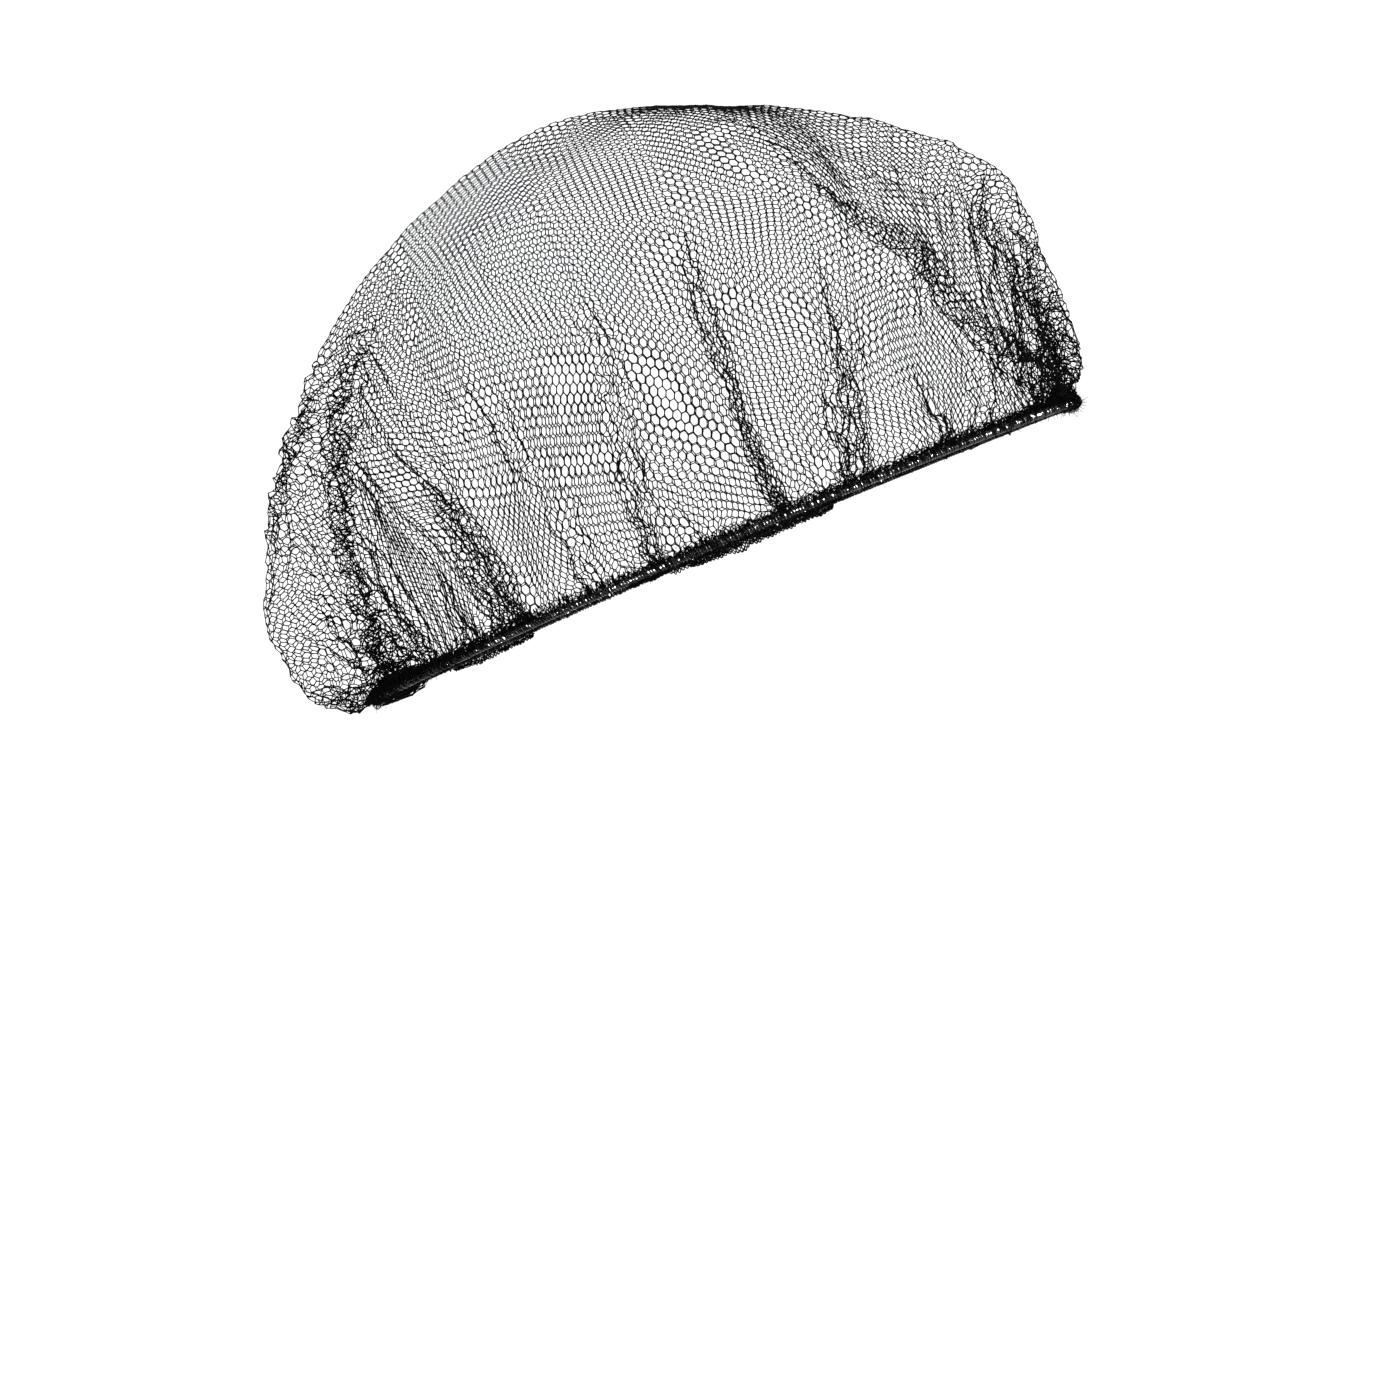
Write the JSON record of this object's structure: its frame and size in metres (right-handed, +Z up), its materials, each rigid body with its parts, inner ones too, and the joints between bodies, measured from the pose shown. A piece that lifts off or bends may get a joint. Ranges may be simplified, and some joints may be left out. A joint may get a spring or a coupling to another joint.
{
  "type": "disposable mesh hair net",
  "caption": "Open dome of black honeycomb net, gathered on a thin elastic loop that sits round the head, in its worn form.",
  "frame": {"origin": "centre of the elastic loop, level with its centre line at the forehead and the nape", "axes": "+Z up on a level head, -Y the way the wearer faces, -X towards the wearer's right ear"},
  "size_m": [0.1647, 0.2134, 0.1618],
  "materials": {
    "net": "black knitted nylon honeycomb net, dull with a faint sheen",
    "elastic": "black elastic cord wrapped in shiny thread"
  },
  "bodies": {
    "root": {"net_crown": "net", "elastic_band": "elastic"}
  },
  "joints": []
}
